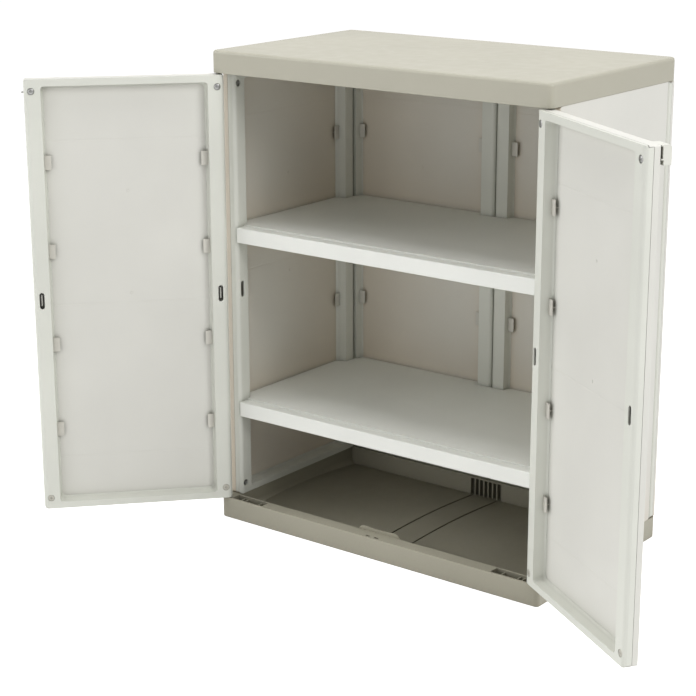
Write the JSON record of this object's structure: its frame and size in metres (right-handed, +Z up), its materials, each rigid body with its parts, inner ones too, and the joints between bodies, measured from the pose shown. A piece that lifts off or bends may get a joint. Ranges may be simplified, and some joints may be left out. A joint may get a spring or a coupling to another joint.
{
  "type": "garden storage cabinet",
  "caption": "Low resin storage cabinet with hinged doors, shelves, a ribbed base tray and a flat lid, shown with its doors open.",
  "frame": {"origin": "centre of the base's underside, on the ground", "axes": "+X to the right as seen from in front, -Y towards the viewer in front of the doors, +Z up"},
  "size_m": [1.1881, 0.6337, 0.85],
  "materials": {
    "trim_plastic": "semi-matt taupe resin",
    "connector_plastic": "semi-matt taupe resin",
    "shelf_plastic": "semi-matt light grey resin",
    "peg_plastic": "semi-matt light grey resin",
    "panel_plastic": "semi-matt warm light grey resin",
    "frame_plastic": "semi-matt light grey resin",
    "clip_plastic": "semi-matt light grey resin",
    "plug_plastic": "semi-matt light grey resin",
    "pin_plastic": "smooth light grey resin",
    "latch_plastic": "semi-matt light grey resin",
    "screw_steel": "zinc-plated",
    "catch_steel": "dull zinc-plated"
  },
  "bodies": {
    "cabinet": {"base": "trim_plastic", "base_connectors": "connector_plastic", "left_back_clips": "clip_plastic", "left_back_frame": "frame_plastic", "left_back_panel": "panel_plastic", "left_back_screws": "screw_steel", "left_side_clips": "clip_plastic", "left_side_frame": "frame_plastic", "left_side_panel": "panel_plastic", "left_side_screws": "screw_steel", "lid": "trim_plastic", "lid_connectors": "connector_plastic", "lower_shelf": "shelf_plastic", "lower_shelf_pegs": "peg_plastic", "right_back_clips": "clip_plastic", "right_back_frame": "frame_plastic", "right_back_panel": "panel_plastic", "right_back_screws": "screw_steel", "right_side_clips": "clip_plastic", "right_side_frame": "frame_plastic", "right_side_panel": "panel_plastic", "right_side_screws": "screw_steel", "upper_shelf": "shelf_plastic", "upper_shelf_pegs": "peg_plastic"},
    "left_door": {"left_door_clips": "clip_plastic", "left_door_frame": "frame_plastic", "left_door_panel": "panel_plastic", "left_door_pins": "pin_plastic", "left_door_plugs": "plug_plastic", "left_door_screws": "screw_steel", "catch_plate": "catch_steel", "catch_plate_screws": "screw_steel"},
    "right_door": {"right_door_clips": "clip_plastic", "right_door_frame": "frame_plastic", "right_door_panel": "panel_plastic", "right_door_pins": "pin_plastic", "right_door_plugs": "plug_plastic", "right_door_screws": "screw_steel", "latch_block": "latch_plastic"}
  },
  "joints": [
    {"name": "left_door_hinge", "type": "hinge", "parent": "cabinet", "child": "left_door", "pos_m": [-0.3319, -0.1869, 0.425], "axis": [0, 0, 1], "range_deg": [-47.4, 132.6]},
    {"name": "right_door_hinge", "type": "hinge", "parent": "cabinet", "child": "right_door", "pos_m": [0.3319, -0.1869, 0.425], "axis": [0, 0, 1], "range_deg": [-147.3, 32.7]}
  ]
}
